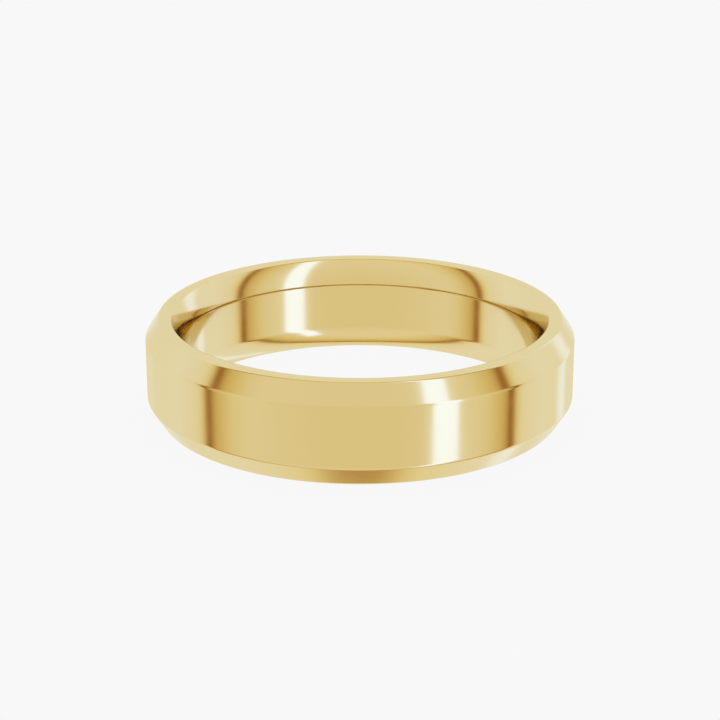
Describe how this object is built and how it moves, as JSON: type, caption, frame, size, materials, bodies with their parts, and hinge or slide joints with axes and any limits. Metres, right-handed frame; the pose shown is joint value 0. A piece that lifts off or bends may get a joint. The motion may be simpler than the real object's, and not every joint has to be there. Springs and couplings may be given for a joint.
{
  "type": "wedding band",
  "caption": "Plain round finger ring in polished yellow gold, with a flat outside, bevelled edges and a comfort-fit inside that flares towards each rim.",
  "frame": {"origin": "centre of the ring, on the finger axis, half way between the two rims", "axes": "+Z along the finger axis; the ring is the same turned any way about it, and turned over"},
  "size_m": [0.0212, 0.0212, 0.005],
  "materials": {
    "yellow_gold": null
  },
  "bodies": {
    "root": {"band": "yellow_gold"}
  },
  "joints": []
}
